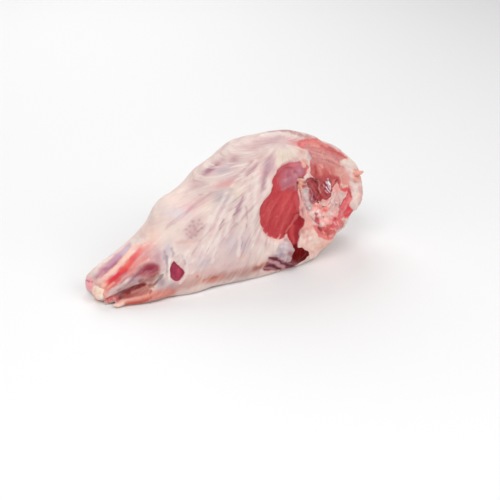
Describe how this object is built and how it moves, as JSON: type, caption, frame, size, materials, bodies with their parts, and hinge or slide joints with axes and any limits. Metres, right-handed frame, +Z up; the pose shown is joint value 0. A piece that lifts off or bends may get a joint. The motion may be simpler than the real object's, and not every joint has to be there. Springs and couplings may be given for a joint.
{
  "type": "raw leg of lamb",
  "caption": "Raw bone-in leg of lamb with a sawn shank, a trimmed window in its fat and the cut hip bone showing, lying on its outer side.",
  "frame": {"origin": "middle of the flat underside that the leg rests on", "axes": "+X along the leg from the shank to the rump end, +Z up, -Y towards the trimmed inner side that the picture shows"},
  "size_m": [0.3404, 0.1288, 0.1443],
  "materials": {
    "meat": "moist raw meat: cream to lilac fat cover over red muscle",
    "shank_bone": "moist cream bone and cartilage",
    "hip_bone": "moist sawn bone, grey-white with red flecks"
  },
  "bodies": {
    "root": {"meat": "meat", "shank_bone": "shank_bone", "hip_bone": "hip_bone"}
  },
  "joints": []
}
